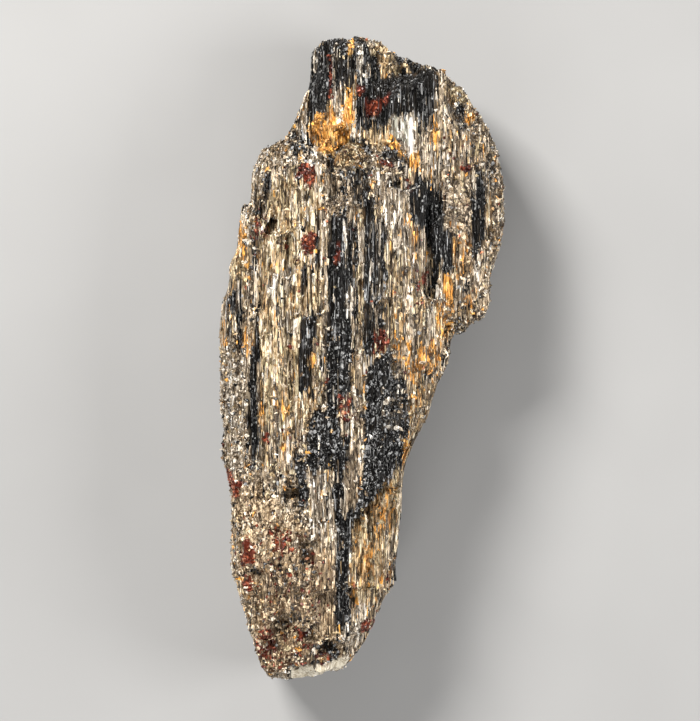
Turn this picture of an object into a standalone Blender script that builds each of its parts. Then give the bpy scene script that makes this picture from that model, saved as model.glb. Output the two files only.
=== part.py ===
"""A specimen of black tourmaline with mica, lying on its back.

The specimen is a bundle of striated columns that grew side by side along Y.
Seven large crystals, each a loft through its own sections, carry the form.
Columns grow along their sides and out of their ends, black blades stand on
the front, and lumps of mica sit on the ledges. Everything is joined in one
solid and broken off along the outline, and then pits, two steps on the front
and a flat underside are cut from it.
+Y is the crystal's long direction, +X is across it, and +Z is up, away from
the surface that it lies on. Lengths are in millimetres until the finished solid
is scaled to metres.
"""

import math
import random
from collections import namedtuple

import bpy
import bmesh
from mathutils import Matrix, Vector

LENGTH = 110.0
WIDTH = 48.8
DEPTH = 32.0
MM = 0.001
SEED = 7

# Each material's colour and roughness.
MATERIALS = {
    "mica crust": ((0.45, 0.38, 0.28), 0.35),
    "black tourmaline": ((0.02, 0.02, 0.024), 0.25),
}
CRUST, BLACK = 0, 1

# The cross-section of a large crystal: a box with rounded corners.
RING_POINTS = 12
SQUARENESS = 0.66
RING_JITTER = 0.4

# A column: a six-sided prism whose every second edge is drawn in, as in tourmaline.
COLUMN_SIDES = 6
DRAWN_IN = 0.84
END_SLANT = 0.45

# How columns cover a large crystal, whose own loft lies inside them by CORE_INSET.
# A column ends where the side has moved by SIDE_STEP.
CORE_INSET = 1.7
SIDE_STEP = 3.8
SHORTEST = 6.0
SIDE_SPACING = 1.7
SIDE_THICKNESS = 1.5
BACK_SPACING = 3.0

# Sections run from a crystal's upper end to its lower end, each with its place
# along Y, left side, right side, back and front. The slants tip its two ends.
Crystal = namedtuple("Crystal", "sections top_slant bottom_slant spacing radius lengths")
CRYSTALS = {
    "slab": Crystal(
        sections=[
            (35.4, -16.4, 3.0, 5.0, 27.0),
            (31.0, -18.8, 9.0, 2.0, 29.0),
            (22.0, -20.8, 11.5, -0.5, 30.6),
            (9.5, -23.8, 13.4, -0.8, 31.0),
            (1.0, -24.8, 15.0, -0.8, 31.0),
            (-18.0, -23.6, 6.6, -0.8, 30.0),
            (-36.0, -22.0, 5.2, -0.5, 27.6),
            (-42.0, -20.4, 2.8, 0.5, 25.8),
            (-49.0, -18.5, -0.2, 2.0, 23.4),
            (-54.0, -16.4, -6.0, 4.5, 20.5),
        ],
        top_slant=-0.10, bottom_slant=0.10, spacing=4.5, radius=2.55, lengths=(22, 50),
    ),
    "tower": Crystal(
        sections=[
            (54.4, -6.4, 3.0, 9.0, 18.5),
            (52.0, -8.6, 5.2, 6.5, 21.0),
            (45.0, -9.4, 7.0, 4.5, 22.5),
            (39.5, -11.6, 8.5, 3.5, 23.0),
            (29.0, -14.6, 9.0, 3.5, 22.0),
        ],
        top_slant=-0.05, bottom_slant=0.0, spacing=4.0, radius=2.1, lengths=(16, 28),
    ),
    "shard": Crystal(
        sections=[
            (51.6, 3.0, 9.6, 9.0, 17.0),
            (42.0, 3.0, 14.0, 7.0, 18.5),
        ],
        top_slant=-0.35, bottom_slant=0.0, spacing=4.2, radius=1.8, lengths=(9, 12),
    ),
    "shoulder": Crystal(
        sections=[
            (47.9, -1.2, 14.4, 7.0, 23.0),
            (42.0, -1.4, 16.2, 5.0, 25.0),
            (24.0, 1.0, 17.0, 4.0, 25.4),
        ],
        top_slant=0.22, bottom_slant=0.0, spacing=6.8, radius=3.6, lengths=(20, 28),
    ),
    "lobe": Crystal(
        sections=[
            (46.8, 11.0, 17.4, 9.0, 18.5),
            (42.0, 9.5, 20.6, 6.0, 21.5),
            (35.0, 8.0, 23.8, 3.5, 24.0),
            (28.0, 7.0, 24.9, 2.0, 25.0),
            (21.0, 7.0, 24.8, 1.5, 25.2),
            (13.0, 7.5, 22.6, 2.0, 24.0),
            (5.4, 9.0, 21.0, 4.5, 21.5),
        ],
        top_slant=-0.35, bottom_slant=0.25, spacing=4.1, radius=2.2, lengths=(14, 30),
    ),
    "flank": Crystal(
        sections=[
            (10.0, 8.4, 13.2, 10.0, 26.0),
            (2.0, 8.6, 15.4, 10.0, 27.6),
            (-6.0, 7.4, 13.2, 10.0, 28.4),
            (-15.0, 5.0, 9.4, 10.0, 28.6),
        ],
        top_slant=-0.3, bottom_slant=0.4, spacing=4.6, radius=2.0, lengths=(10, 16),
    ),
    "chunk": Crystal(
        sections=[
            (1.4, -1.0, 3.8, 18.0, 31.0),
            (-4.0, -1.8, 7.2, 18.0, 32.2),
            (-14.0, -2.0, 8.0, 17.0, 31.8),
            (-20.0, -2.2, 6.0, 16.0, 31.2),
            (-26.5, -1.8, 2.0, 16.0, 30.2),
        ],
        top_slant=-0.3, bottom_slant=0.45, spacing=4.0, radius=1.8, lengths=(10, 20),
    ),
}

# The crystals whose ends show the broken ends of many columns.
BROKEN_ENDS = ("slab", "tower", "lobe")

# The outline seen from above, clockwise from the left side of the tower. What
# reaches past it is broken off there. Each level is a height and the outline's
# share of its full size at that height.
OUTLINE = [
    (-9.0, 46.0), (-8.6, 52.4), (-6.8, 54.1), (-0.8, 55.0), (3.3, 53.8), (4.7, 52.4),
    (11.1, 49.9), (14.3, 49.5), (15.7, 46.8), (17.1, 46.4), (19.0, 42.8), (20.9, 40.9),
    (23.1, 35.4), (24.3, 29.9), (24.4, 22.9), (23.8, 19.3), (21.9, 13.7), (22.1, 9.5),
    (21.0, 6.8), (18.9, 6.0), (18.0, 4.4), (14.7, 3.0), (15.4, 0.9), (14.0, -3.0),
    (12.6, -5.1), (11.4, -9.7), (9.0, -14.2), (7.1, -18.8), (6.6, -25.5), (5.6, -39.6),
    (3.9, -40.6), (1.2, -47.8), (-3.2, -53.3), (-7.8, -54.5), (-11.8, -55.0),
    (-15.5, -54.8), (-17.2, -52.8), (-19.8, -44.4), (-22.4, -36.0), (-22.2, -24.0),
    (-23.1, -19.3), (-24.1, -17.4), (-23.9, -13.1), (-23.3, -12.4), (-24.3, -8.7),
    (-24.4, 4.0), (-23.9, 9.5), (-22.6, 12.1), (-22.4, 16.2), (-21.3, 18.0),
    (-20.4, 25.5), (-18.6, 32.3), (-16.9, 35.4), (-14.3, 37.2), (-12.5, 37.9),
    (-10.2, 43.6),
]
OUTLINE_LEVELS = [(-2.0, 0.93), (8.0, 1.0), (20.0, 1.0), (34.0, 0.94)]

# Black blades on the front: the crystal that carries the blade, then its
# place across, upper end, lower end and radius.
BLADES = [
    ("slab", -21.4, 11.6, 2.0, 1.5),
    ("slab", -18.0, 7.4, -17.6, 1.3),
    ("slab", -16.4, 31.4, 26.6, 1.5),
    ("slab", -10.6, 16.5, -7.3, 1.0),
    ("slab", -8.2, 6.5, -7.6, 1.2),
    ("slab", -6.8, -8.0, -21.4, 1.9),
    ("slab", -4.0, 24.6, -21.0, 2.1),
    ("slab", -2.4, 32.2, 25.6, 1.2),
    ("slab", 1.4, 29.8, 2.4, 1.5),
    ("slab", 3.6, 24.0, 9.8, 1.0),
    ("slab", -3.2, -27.0, -45.8, 1.5),
    ("tower", -6.6, 53.6, 39.8, 1.7),
    ("tower", -3.4, 54.2, 38.6, 1.7),
    ("tower", 0.4, 54.4, 44.0, 1.8),
    ("lobe", 10.6, 31.0, 11.6, 2.4),
    ("lobe", 12.6, 22.0, 10.6, 1.6),
    ("lobe", 16.3, 43.6, 37.8, 1.2),
    ("lobe", 19.4, 32.8, 15.0, 1.5),
]

# Lumps of mica: the crystal that carries the lump, then its place across and
# along, and its half sizes across, along and up.
LUMPS = [
    ("slab", -2.0, 33.2, 2.7, 2.2, 2.4),
    ("slab", -9.4, 33.9, 2.2, 1.6, 2.0),
    ("tower", -12.2, 35.6, 2.4, 2.4, 2.4),
    ("slab", -14.6, 33.6, 1.9, 1.7, 2.0),
    ("slab", -9.0, 27.0, 1.4, 2.2, 1.1),
    ("slab", -9.0, 19.4, 1.7, 2.4, 1.2),
    ("slab", -17.4, -30.6, 1.9, 3.0, 1.4),
    ("slab", -13.6, -34.0, 2.2, 2.4, 1.3),
    ("slab", -9.6, -38.6, 2.0, 2.6, 1.4),
    ("slab", -16.4, -43.0, 2.2, 2.6, 1.5),
    ("slab", -7.4, -46.6, 2.3, 2.0, 1.4),
    ("slab", -12.6, -49.6, 2.4, 2.2, 1.5),
    ("slab", -2.0, -49.4, 1.9, 1.8, 1.6),
    ("lobe", 17.2, 9.4, 2.0, 2.6, 1.5),
    ("lobe", 19.4, 37.4, 1.8, 2.2, 1.3),
    ("slab", 13.0, 0.6, 2.2, 2.2, 1.6),
]
LUMP_CORNERS = 11

# Pits in the front, given as the lumps are.
PITS = [
    ("slab", -2.0, -30.4, 1.3, 1.8, 1.2),
    ("slab", -10.6, -43.4, 1.2, 1.5, 1.0),
    ("slab", -6.4, 17.0, 0.9, 2.6, 1.0),
    ("slab", -5.0, -51.8, 1.6, 1.0, 1.2),
    ("lobe", 14.2, 26.0, 1.0, 3.0, 1.1),
    ("slab", -20.4, -12.4, 1.4, 1.2, 1.1),
]
PIT_RISE = 0.6

# The step under the chunk, where the front lies lower, and the groove that
# parts the slab from the lobe: middle, size and turn about Y in degrees.
STEPS = [
    ((7.4, -32.5, 28.6), (13.0, 21.0, 6.0), 16.0),
    ((10.2, 21.0, 29.6), (3.4, 19.0, 5.0), 24.0),
]

# The height at which the underside is cut flat.
UNDERSIDE = 0.8


def remove_everything():
    """Empties the scene that Blender starts with."""
    for thing in list(bpy.data.objects):
        bpy.data.objects.remove(thing, do_unlink=True)


def new_collection(name):
    """A collection under the scene's own."""
    collection = bpy.data.collections.new(name)
    bpy.context.scene.collection.children.link(collection)
    return collection


def remove_collection(collection):
    """Removes a collection and the objects in it."""
    for thing in list(collection.objects):
        bpy.data.objects.remove(thing, do_unlink=True)
    bpy.data.collections.remove(collection)


def new_material(name, colour, roughness):
    """A plain material of this colour."""
    material = bpy.data.materials.new(name)
    material.use_nodes = True
    shader = material.node_tree.nodes["Principled BSDF"]
    shader.inputs["Base Color"].default_value = (*colour, 1)
    shader.inputs["Roughness"].default_value = roughness
    shader.inputs["Metallic"].default_value = 0.0
    return material


def object_from(bm, name, collection, material=CRUST):
    """An object with this mesh, its faces pointing outwards, all of one material."""
    bmesh.ops.recalc_face_normals(bm, faces=bm.faces)
    for face in bm.faces:
        face.material_index = material
    mesh = bpy.data.meshes.new(name)
    for title in MATERIALS:
        mesh.materials.append(bpy.data.materials[title])
    bm.to_mesh(mesh)
    bm.free()
    thing = bpy.data.objects.new(name, mesh)
    collection.objects.link(thing)
    return thing


def section_at(sections, place):
    """The section of a large crystal at this place along Y, between its own sections."""
    place = min(max(place, sections[-1][0]), sections[0][0])
    for upper, lower in zip(sections, sections[1:]):
        if place >= lower[0]:
            share = (upper[0] - place) / (upper[0] - lower[0])
            return [a + (b - a) * share for a, b in zip(upper, lower)]
    return sections[-1]


def swell(value):
    """Moves a sine or cosine outwards, which turns an ellipse into a rounded box."""
    return math.copysign(abs(value) ** SQUARENESS, value)


def ring_point(section, angle):
    """A point on a section's side, seen at this angle from the section's middle."""
    place, left, right, back, front = section
    x = (left + right) / 2 + (right - left) / 2 * swell(math.cos(angle))
    z = (back + front) / 2 + (front - back) / 2 * swell(math.sin(angle))
    return Vector((x, place, z))


def section_middle(section):
    """The middle of a section."""
    place, left, right, back, front = section
    return Vector(((left + right) / 2, place, (back + front) / 2))


def front_height(sections, x, place):
    """How high a large crystal's front is at this place."""
    _, left, right, back, front = section_at(sections, place)
    across = min(abs(x - (left + right) / 2) / ((right - left) / 2), 0.98)
    up = math.sqrt(1 - across ** (2 / SQUARENESS))
    return (back + front) / 2 + (front - back) / 2 * swell(up)


def end_slant(crystal, x, middle, end):
    """How far the upper end (0) or the lower end (-1) is tipped along Y at x."""
    slant = crystal.top_slant if end == 0 else crystal.bottom_slant
    return slant * (x - middle)


def bridge(bm, rings):
    """Joins rings of points to a closed body, ring after ring, with flat ends."""
    for upper, lower in zip(rings, rings[1:]):
        for step in range(len(upper)):
            after = (step + 1) % len(upper)
            bm.faces.new((upper[step], upper[after], lower[after], lower[step]))
    bm.faces.new(list(reversed(rings[0])))
    bm.faces.new(rings[-1])


def add_large_crystal(collection, name, crystal, chance):
    """Lofts the inside of a large crystal through its sections."""
    bm = bmesh.new()
    rings = []
    for place, left, right, back, front in crystal.sections:
        section = (
            place, left + CORE_INSET, right - CORE_INSET, back + CORE_INSET, front - CORE_INSET,
        )
        ring = []
        for step in range(RING_POINTS):
            point = ring_point(section, 2 * math.pi * (step + 0.5) / RING_POINTS)
            point.x += chance.uniform(-RING_JITTER, RING_JITTER)
            point.z += chance.uniform(-RING_JITTER, RING_JITTER)
            ring.append(bm.verts.new(point))
        rings.append(ring)
    for end in (0, -1):
        middle = sum(vert.co.x for vert in rings[end]) / RING_POINTS
        for vert in rings[end]:
            vert.co.y += end_slant(crystal, vert.co.x, middle, end)
    bridge(bm, rings)
    return object_from(bm, name, collection)


def add_column(collection, top, bottom, radius, chance, material=CRUST):
    """A column from one point to another, with slanted ends."""
    bm = bmesh.new()
    axis = top - bottom
    made = bmesh.ops.create_cone(
        bm, cap_ends=True, segments=COLUMN_SIDES, radius1=radius, radius2=radius,
        depth=axis.length,
    )
    slant_x = chance.uniform(-END_SLANT, END_SLANT)
    slant_y = chance.uniform(-END_SLANT, END_SLANT)
    turn = Matrix.Rotation(chance.uniform(0, math.pi), 3, "Z")
    for vert in made["verts"]:
        edge = round(math.atan2(vert.co.y, vert.co.x) / (2 * math.pi / COLUMN_SIDES))
        if edge % 2:
            vert.co.xy *= DRAWN_IN
        vert.co = turn @ vert.co
        vert.co.z += slant_x * vert.co.x + slant_y * vert.co.y
    aim = axis.to_track_quat("Z", "Y").to_matrix().to_4x4()
    place = Matrix.Translation((top + bottom) / 2) @ aim
    bmesh.ops.transform(bm, matrix=place, verts=made["verts"])
    object_from(bm, "column", collection, material)


def lane_angles(crystal):
    """Angles round a large crystal: close in front, wider apart beside and behind."""
    widest = max(crystal.sections, key=lambda section: section[2] - section[1])
    angles, walked = [], 0.0
    previous = ring_point(widest, 0.0)
    for degree in range(1, 361):
        angle = math.radians(degree)
        point = ring_point(widest, angle)
        facing = math.sin(angle)
        wider = 1.0 if facing > 0.5 else SIDE_SPACING if facing > -0.3 else BACK_SPACING
        walked += (point - previous).length / (crystal.spacing * wider)
        previous = point
        if walked >= len(angles) + 1:
            angles.append(angle)
    return angles


def column_axis(crystal, angle, start, end, thick, stand):
    """The ends of a column that stands out of a large crystal's side where it is widest."""
    furthest, out = None, -1.0
    for place in (start, (start + end) / 2, end):
        section = section_at(crystal.sections, place)
        middle = section_middle(section)
        outwards = ring_point(section, angle) - middle
        if outwards.length > out:
            out = outwards.length
            furthest = middle + outwards * (1 - thick * (1 - stand) / out)
    return [Vector((furthest.x, place, furthest.z)) for place in (start, end)]


def column_end(crystal, angle, start, finish, chance):
    """Where a column ends, so that it stays close to the side of its crystal."""
    end = max(start - chance.uniform(*crystal.lengths), finish)
    if end < finish + SHORTEST:
        end = finish
    here = ring_point(section_at(crystal.sections, start), angle)
    while start - end > SHORTEST:
        there = ring_point(section_at(crystal.sections, end), angle)
        if math.hypot(there.x - here.x, there.z - here.z) < SIDE_STEP:
            break
        end = start - (start - end) * 0.85
    return end


def grow_columns(collection, crystal, chance):
    """Lanes of columns along a large crystal, each lane broken into lengths."""
    first, last = crystal.sections[0], crystal.sections[-1]
    for angle in lane_angles(crystal):
        angle += chance.uniform(-0.03, 0.03)
        top, bottom = ring_point(first, angle), ring_point(last, angle)
        start = top.y + end_slant(crystal, top.x, section_middle(first).x, 0)
        start += chance.uniform(-1.2, 0.3)
        finish = bottom.y + end_slant(crystal, bottom.x, section_middle(last).x, -1)
        finish += chance.uniform(-0.3, 0.6)
        while start > finish + 0.5:
            end = column_end(crystal, angle, start, finish, chance)
            thick = crystal.radius * chance.uniform(0.75, 1.15)
            thick *= 1.0 if math.sin(angle) > 0.5 else SIDE_THICKNESS
            stand = chance.uniform(-0.15, 0.3)
            ends = column_axis(crystal, angle, start, end, thick, stand)
            add_column(collection, *ends, thick, chance)
            start = end + chance.uniform(-0.9, 0.3)


def grow_ends(collection, crystal, chance):
    """Broken column ends that stand out of a large crystal's two ends."""
    for end in (0, -1):
        section = crystal.sections[end]
        middle = section_middle(section)
        outwards = 1 if end == 0 else -1
        for share, count in ((0.0, 1), (0.6, 3)):
            for step in range(count):
                angle = 2 * math.pi * (step + chance.uniform(0.1, 0.9)) / count
                point = middle.lerp(ring_point(section, angle), share)
                point.y += end_slant(crystal, point.x, middle.x, end)
                point.y += outwards * chance.uniform(0.1, 1.5)
                inside = point - Vector((0, outwards * chance.uniform(4, 6), 0))
                thick = crystal.radius * chance.uniform(0.9, 1.3)
                add_column(collection, point, inside, thick, chance)


def add_blade(collection, blade, chance):
    """A black blade that lies along the front of a large crystal."""
    name, x, upper, lower, radius = blade
    ends = []
    for place in (upper, lower):
        height = front_height(CRYSTALS[name].sections, x, place)
        ends.append(Vector((x, place, height - radius * 0.25)))
    add_column(collection, *ends, radius, chance, material=BLACK)


def add_lump(collection, lump, chance, name="lump", rise=0.0):
    """A lump with flat faces on the front of a large crystal, or higher by rise."""
    crystal, x, place, *half_sizes = lump
    height = front_height(CRYSTALS[crystal].sections, x, place) + rise
    bm = bmesh.new()
    corners = []
    for _ in range(LUMP_CORNERS):
        out = Vector([chance.gauss(0, 1) for _ in range(3)]).normalized()
        corner = Vector([a * b for a, b in zip(out, half_sizes)])
        corners.append(bm.verts.new(corner + Vector((x, place, height))))
    hull = bmesh.ops.convex_hull(bm, input=corners)
    bmesh.ops.delete(bm, geom=hull["geom_interior"], context="VERTS")
    return object_from(bm, name, collection)


def add_outline(collection):
    """The outline as a solid: full size at mid height, drawn in above and below."""
    bm = bmesh.new()
    rings = []
    for height, share in reversed(OUTLINE_LEVELS):
        rings.append([bm.verts.new((x * share, y * share, height)) for x, y in OUTLINE])
    bridge(bm, rings)
    return object_from(bm, "outline", collection)


def add_block(collection, name, middle, size, degrees=0.0):
    """A box, turned about Y."""
    bm = bmesh.new()
    made = bmesh.ops.create_cube(bm, size=1.0)
    place = Matrix.Translation(middle) @ Matrix.Rotation(math.radians(degrees), 4, "Y")
    bmesh.ops.transform(bm, matrix=place @ Matrix.Diagonal((*size, 1)), verts=made["verts"])
    return object_from(bm, name, collection)


def combine(thing, other, operation):
    """Joins another shape to this object, cuts it away or keeps what lies in it."""
    modifier = thing.modifiers.new(other.name, "BOOLEAN")
    modifier.operation = operation
    modifier.solver = "MANIFOLD"
    modifier.object = other


def apply_modifiers(thing):
    """Replaces an object's mesh with what its modifiers make of it."""
    evaluated = thing.evaluated_get(bpy.context.evaluated_depsgraph_get())
    mesh = bpy.data.meshes.new_from_object(evaluated)
    thing.modifiers.clear()
    thing.data = mesh


def make_growth(collection, chance):
    """Everything that has grown together with the slab, as overlapping shapes."""
    for name, crystal in CRYSTALS.items():
        if name != "slab":
            add_large_crystal(collection, name, crystal, chance)
        grow_columns(collection, crystal, chance)
        if name in BROKEN_ENDS:
            grow_ends(collection, crystal, chance)
    for blade in BLADES:
        add_blade(collection, blade, chance)
    for lump in LUMPS:
        add_lump(collection, lump, chance)


def connected_faces(start):
    """The faces that can be reached from this one over shared edges."""
    found, waiting = {start}, [start]
    while waiting:
        for edge in waiting.pop().edges:
            for face in edge.link_faces:
                if face not in found:
                    found.add(face)
                    waiting.append(face)
    return found


def keep_outer_surface(thing):
    """Keeps the outer surface alone, so the gaps shut in between columns are solid."""
    bm = bmesh.new()
    bm.from_mesh(thing.data)
    rest = set(bm.faces)
    shells = []
    while rest:
        shell = connected_faces(next(iter(rest)))
        rest -= shell
        shells.append(shell)
    outer = max(shells, key=len)
    inner = [face for shell in shells if shell is not outer for face in shell]
    bmesh.ops.delete(bm, geom=inner, context="FACES")
    bm.to_mesh(thing.data)
    bm.free()


def make_cutters(collection, chance):
    """What is cut away: pits and steps in front, and all that is under the surface."""
    for pit in PITS:
        add_lump(collection, pit, chance, "pit", PIT_RISE)
    for middle, size, degrees in STEPS:
        add_block(collection, "step", middle, size, degrees)
    middle = (0, 0, UNDERSIDE - DEPTH / 2)
    add_block(collection, "underside", middle, (2 * WIDTH, 2 * LENGTH, DEPTH))


def fit_to_size(thing):
    """Scales the solid to metres and its real size, centred on the surface under it."""
    corners = [vert.co for vert in thing.data.vertices]
    low = Vector([min(co[axis] for co in corners) for axis in range(3)])
    high = Vector([max(co[axis] for co in corners) for axis in range(3)])
    scale = [size * MM / (b - a) for size, a, b in zip((WIDTH, LENGTH, DEPTH), low, high)]
    origin = Vector(((low.x + high.x) / 2, (low.y + high.y) / 2, low.z))
    thing.data.transform(Matrix.Diagonal((*scale, 1)) @ Matrix.Translation(-origin))


def main():
    remove_everything()
    for name, look in MATERIALS.items():
        new_material(name, *look)
    parts = new_collection("tourmaline_specimen")
    growth = new_collection("growth")
    outline = new_collection("outline")
    cutters = new_collection("cutters")
    chance = random.Random(SEED)

    specimen = add_large_crystal(parts, "tourmaline_crystal", CRYSTALS["slab"], chance)
    make_growth(growth, chance)
    add_outline(outline)
    make_cutters(cutters, chance)
    for shapes, operation in ((growth, "UNION"), (outline, "INTERSECT"), (cutters, "DIFFERENCE")):
        for shape in shapes.objects:
            combine(specimen, shape, operation)
    apply_modifiers(specimen)
    keep_outer_surface(specimen)
    fit_to_size(specimen)
    for shapes in (growth, outline, cutters):
        remove_collection(shapes)


main()
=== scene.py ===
"""The looks of a black tourmaline specimen that is crusted with mica.

The specimen lies on its back on a pale floor, and the camera looks straight
down on it. The bundle of columns is remeshed finely and gets ridges along its
length. Thin crystals lie on it: slivers and flakes of mica, black needles and
sharp black grains, golden and iron-stained slivers, and red grains. Named
patches say which mineral shows where on the front. The specimen's length is
along Y, its width is along X and Z points up at the camera.
"""

import math
from collections import namedtuple

import bpy
import bmesh
import numpy as np
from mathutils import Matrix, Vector, noise
from mathutils.bvhtree import BVHTree


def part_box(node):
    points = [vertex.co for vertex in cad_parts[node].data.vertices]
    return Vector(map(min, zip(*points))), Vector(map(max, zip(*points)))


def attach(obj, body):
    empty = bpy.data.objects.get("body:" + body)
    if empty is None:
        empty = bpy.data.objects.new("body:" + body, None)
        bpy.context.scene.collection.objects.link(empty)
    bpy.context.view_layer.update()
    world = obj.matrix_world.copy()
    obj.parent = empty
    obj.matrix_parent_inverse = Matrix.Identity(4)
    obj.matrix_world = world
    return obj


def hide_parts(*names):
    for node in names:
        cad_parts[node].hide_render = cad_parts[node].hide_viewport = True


MM = 0.001
SEED = 11
NODE = "tourmaline_crystal"

PALE, SILVER, GOLD, ORANGE, BLACK, RED = range(6)

# The patches of minerals on the front are drawn on a chart that is seen from
# above: X runs to the right and Y runs down, in units of CHART_UNIT mm.
CHART_UNIT = 0.1716
CHART_MIDDLE = (361.5, 357.5)

# Purity is the share of what lies in a patch that is its mineral.
Patch = namedtuple("Patch", "corners purity")


def patch(purity, *corners):
    """A patch with any corners."""
    return Patch(corners, purity)


def strip(left, top, right, bottom, purity):
    """A patch with straight sides along the columns."""
    return Patch(((left, top), (right, top), (right, bottom), (left, bottom)), purity)


def again(area, purity):
    """The same patch in another list, with the purity that it has there."""
    return area._replace(purity=purity)


# Patches that more than one list names: the brown lump's crust, the gap round its
# upper side, which is painted dark as its shade, and the small black face to the right of it.
LUMP_CRUST = patch(
    1.0, (334, 166), (342, 154), (351, 146), (364, 150), (368, 156), (364, 167), (335, 172),
)
LUMP_EDGE = patch(
    0.97, (328, 173), (330, 157), (339, 147), (350, 140), (362, 142), (369, 150), (373, 162),
    (366, 161), (362, 152), (355, 147), (349, 147), (342, 153), (336, 161), (334, 172),
)
BLACK_FACE = patch(
    0.9, (377, 153), (389, 150), (397, 156), (408, 165), (406, 174), (397, 171), (384, 162),
)

PALE_PATCHES = [
    strip(322, 196, 362, 214, 0.85),
    strip(321, 214, 329, 300, 0.6),
    strip(373, 274, 380, 312, 0.9),
    strip(306, 330, 309, 352, 0.9),
    strip(316, 547, 336, 628, 0.8),
    strip(256, 492, 298, 524, 0.7),
    strip(357, 359, 364, 445, 0.6),
    strip(357, 294, 363, 342, 0.6),
    strip(346, 442, 356, 508, 0.8),
    strip(440, 73, 447, 96, 0.8),
    strip(444, 183, 470, 228, 0.75),
    patch(0.5, (230, 470), (262, 462), (300, 500), (335, 545), (335, 625), (300, 668), (262, 660)),
    strip(420, 148, 428, 176, 0.8),
]

# Some small silver patches lie on bright glints, so there the light silver mica is partly a painted
# highlight.
SILVER_PATCHES = [
    patch(0.5, (220, 343), (243, 350), (250, 360), (249, 470), (232, 470), (222, 440)),
    strip(358, 44, 362, 77, 0.8),
    strip(364, 66, 370, 78, 0.6),
    strip(333, 67, 336, 104, 0.9),
    strip(333, 46, 338, 60, 0.6),
    strip(314, 57, 317, 73, 0.5),
    patch(0.8, (391, 125), (409, 119), (413, 157), (403, 149), (389, 140)),
    strip(408, 121, 413, 157, 0.8),
    strip(350, 124, 354, 138, 0.8),
    strip(430, 150, 441, 180, 0.35),
    strip(443, 155, 448, 172, 1.0),
    strip(441, 109, 447, 130, 0.7),
    strip(275, 161, 320, 168, 0.5),
    strip(266, 202, 270, 214, 0.9),
    strip(306, 204, 314, 215, 1.0),
    strip(244, 178, 258, 206, 0.4),
    strip(258, 268, 264, 276, 0.9),
    strip(270, 278, 277, 293, 0.8),
    patch(0.8, (286, 266), (298, 270), (297, 292), (287, 291)),
    strip(241, 299, 245, 311, 0.8),
    strip(290, 326, 298, 337, 0.8),
    strip(346, 293, 353, 315, 0.8),
    patch(0.45, (376, 176), (404, 178), (410, 215), (418, 270), (400, 262), (384, 224)),
    patch(0.4, (418, 240), (422, 241), (427, 256), (420, 254)),
    strip(358, 236, 365, 261, 0.85),
    strip(345, 231, 348, 262, 0.7),
    strip(371, 285, 375, 319, 0.3),
    strip(376, 228, 380, 345, 0.3),
    strip(370, 206, 373, 300, 0.25),
    strip(472, 172, 474, 202, 1.0),
    patch(1.0, (470, 264), (479, 265), (480, 284), (473, 282)),
    strip(380, 387, 401, 430, 0.3),
    patch(0.7, (311, 471), (334, 471), (335, 508), (316, 512), (309, 502)),
    strip(310, 511, 319, 546, 0.85),
    strip(320, 530, 327, 545, 0.8),
    strip(330, 525, 336, 543, 0.8),
    strip(293, 529, 300, 540, 0.9),
    patch(0.95, (295, 663), (325, 661), (349, 651), (350, 660), (344, 668), (313, 674), (295, 679)),
    patch(0.6, (343, 624), (358, 618), (360, 640), (345, 650)),
    strip(380, 530, 398, 568, 0.35),
]

GOLD_PATCHES = [
    patch(0.42, (258, 212), (298, 180), (322, 200), (324, 300), (318, 420), (262, 430)),
    patch(0.75, (369, 50), (387, 49), (398, 63), (413, 71), (379, 78), (377, 57)),
    strip(336, 124, 341, 150, 1.0),
    patch(0.6, (354, 139), (370, 139), (383, 130), (390, 128), (389, 143), (378, 150), (364, 148)),
    patch(0.7, (336, 164), (343, 153), (351, 146), (363, 150), (367, 156), (362, 166), (338, 171)),
    strip(276, 181, 297, 255, 0.5),
    strip(308, 217, 316, 228, 0.8),
    patch(0.6, (230, 262), (236, 250), (248, 250), (248, 277), (232, 286)),
    strip(262, 315, 273, 402, 0.55),
    strip(304, 369, 306, 391, 0.9),
    strip(264, 418, 275, 427, 0.8),
    patch(0.85, (351, 530), (380, 480), (398, 470), (398, 500), (380, 594), (351, 600)),
    strip(344, 563, 351, 580, 0.8),
    patch(0.6, (446, 87), (465, 90), (470, 104), (447, 104)),
    strip(485, 200, 491, 237, 0.9),
    strip(357, 273, 362, 294, 0.7),
    strip(384, 262, 400, 345, 0.45),
    strip(427, 297, 432, 307, 0.9),
    strip(434, 305, 453, 337, 0.5),
    patch(0.5, (408, 380), (436, 380), (412, 450), (404, 490), (398, 480)),
]

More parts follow.
